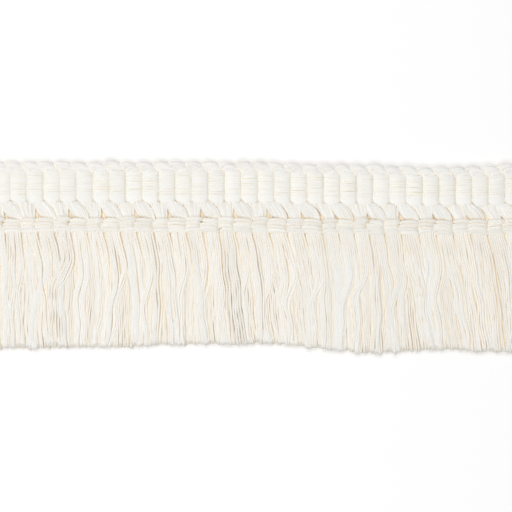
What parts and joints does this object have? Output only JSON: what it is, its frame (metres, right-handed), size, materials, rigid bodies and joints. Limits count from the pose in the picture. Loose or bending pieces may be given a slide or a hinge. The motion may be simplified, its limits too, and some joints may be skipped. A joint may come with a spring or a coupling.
{
  "type": "fringe trim",
  "caption": "Flat length of cotton brush fringe with a ribbed woven heading, a looped top edge, an openwork row of crossed bundles, a row of tied knots and a cut yarn skirt.",
  "frame": {"origin": "middle of the ribbed heading's flat back, the face that is sewn or glued on; z = 0 is the surface the trim lies on", "axes": "+X along the trim, +Y up across it from the skirt towards the looped edge, +Z out of its face"},
  "size_m": [0.1603, 0.057, 0.0038],
  "materials": {
    "heading_cotton": "matt ivory cotton",
    "tie_cotton": "matt ivory cotton",
    "skirt_cotton": "matt ivory cotton"
  },
  "bodies": {
    "root": {"woven_heading": "heading_cotton", "tied_row": "tie_cotton", "yarn_skirt": "skirt_cotton"}
  },
  "joints": []
}
